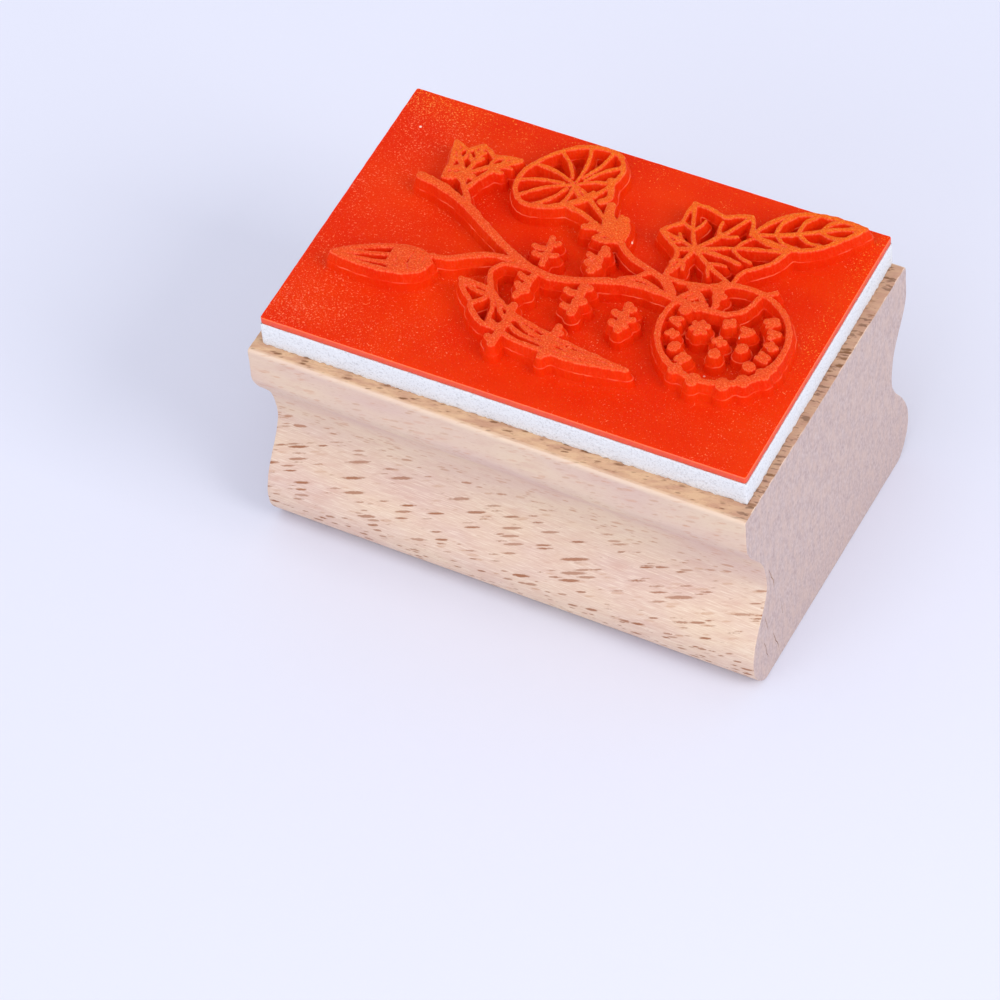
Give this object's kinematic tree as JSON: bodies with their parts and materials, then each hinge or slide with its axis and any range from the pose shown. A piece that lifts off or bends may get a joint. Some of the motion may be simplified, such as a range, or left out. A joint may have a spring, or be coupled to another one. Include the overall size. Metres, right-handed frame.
{
  "type": "rubber stamp",
  "caption": "Wood-mounted rubber stamp: a moulded beech block with finger grooves, a cushion of white foam and an engraved red rubber die that presses into the foam.",
  "frame": {"origin": "centre of the block's palm face, at the bottom of the part", "axes": "+X along the block's long side, +Y across it, +Z from the palm face towards the printing face"},
  "size_m": [0.06, 0.04, 0.0356],
  "materials": {
    "beech": "sanded bare beech, matt",
    "adhesive_film": "thin double-sided film, satin",
    "cushion_foam": "white fine-celled foam with cut edges, matt",
    "die_rubber": "orange-red engraved rubber, satin"
  },
  "bodies": {
    "block": {"wood_block": "beech", "block_adhesive": "adhesive_film", "foam_cushion": "cushion_foam"},
    "die": {"die_adhesive": "adhesive_film", "rubber_die": "die_rubber"}
  },
  "joints": [
    {"name": "press", "type": "slide", "parent": "block", "child": "die", "axis": [0, 0, -1], "range_m": [0, 0.001], "stiffness_N_per_m": 800, "deforming": ["foam_cushion"]}
  ]
}
